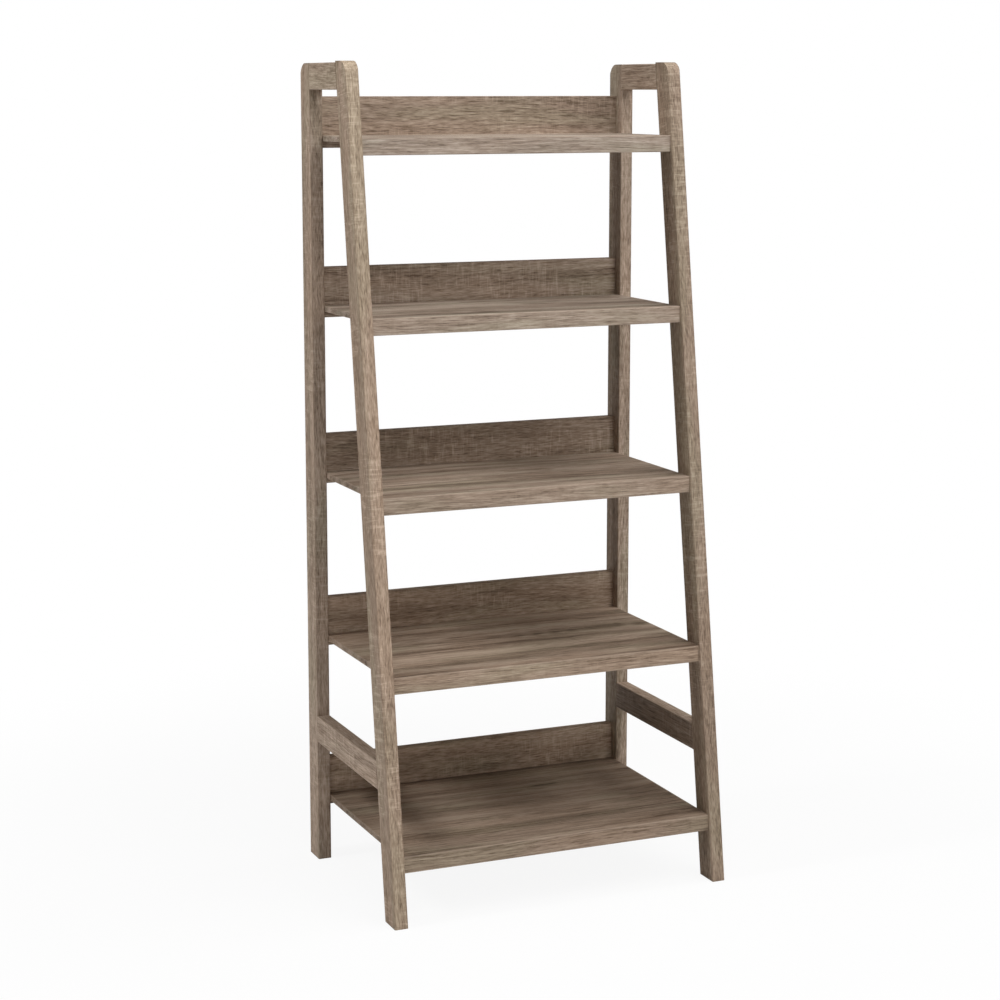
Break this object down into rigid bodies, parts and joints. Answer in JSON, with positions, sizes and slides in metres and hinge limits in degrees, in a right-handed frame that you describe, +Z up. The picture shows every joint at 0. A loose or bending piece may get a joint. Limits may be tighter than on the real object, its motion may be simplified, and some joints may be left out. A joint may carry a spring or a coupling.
{
  "type": "ladder bookcase",
  "caption": "Open bookcase with side frames that lean at the front; each shelf has a front lip and a low back panel, and the shelves deepen towards the floor.",
  "frame": {"origin": "bottom centre of the bounding box, on the floor between the four feet", "axes": "+Z up, -Y towards the leaning front posts, +X towards the right side frame as seen from the front"},
  "size_m": [0.664, 0.467, 1.524],
  "materials": {
    "rear_post_wood": "weathered grey-brown oak finish, matt, grain up the post",
    "front_post_wood": "weathered grey-brown oak finish, matt, grain up the post, short rough-sawn marks across it",
    "rail_wood": "weathered grey-brown oak finish, matt, grain front to back",
    "stretcher_wood": "weathered grey-brown oak finish, matt, grain front to back",
    "board_wood": "weathered grey-brown oak finish, matt, grain along the width",
    "lip_wood": "weathered grey-brown oak finish, matt, grain along the width",
    "panel_wood": "weathered grey-brown oak finish, matt, grain along the width",
    "dowel_wood": "plain beech, unfinished",
    "bolt_steel": "bright zinc-plated steel",
    "cam_zinc": "die-cast zinc"
  },
  "bodies": {
    "root": {"left_rear_post": "rear_post_wood", "left_front_post": "front_post_wood", "left_top_rail": "rail_wood", "left_side_stretcher": "stretcher_wood", "right_rear_post": "rear_post_wood", "right_front_post": "front_post_wood", "right_top_rail": "rail_wood", "right_side_stretcher": "stretcher_wood", "shelf_board_1": "board_wood", "shelf_board_2": "board_wood", "shelf_board_3": "board_wood", "shelf_board_4": "board_wood", "shelf_board_5": "board_wood", "shelf_lip_1": "lip_wood", "shelf_lip_2": "lip_wood", "shelf_lip_3": "lip_wood", "shelf_lip_4": "lip_wood", "shelf_lip_5": "lip_wood", "back_panel_1": "panel_wood", "back_panel_2": "panel_wood", "back_panel_3": "panel_wood", "back_panel_4": "panel_wood", "back_panel_5": "panel_wood", "frame_dowels": "dowel_wood", "panel_dowels": "dowel_wood", "shelf_dowels": "dowel_wood", "lip_cam_bolts": "bolt_steel", "panel_cam_bolts": "bolt_steel", "lip_cam_nuts": "cam_zinc", "panel_cam_nuts": "cam_zinc"}
  },
  "joints": []
}
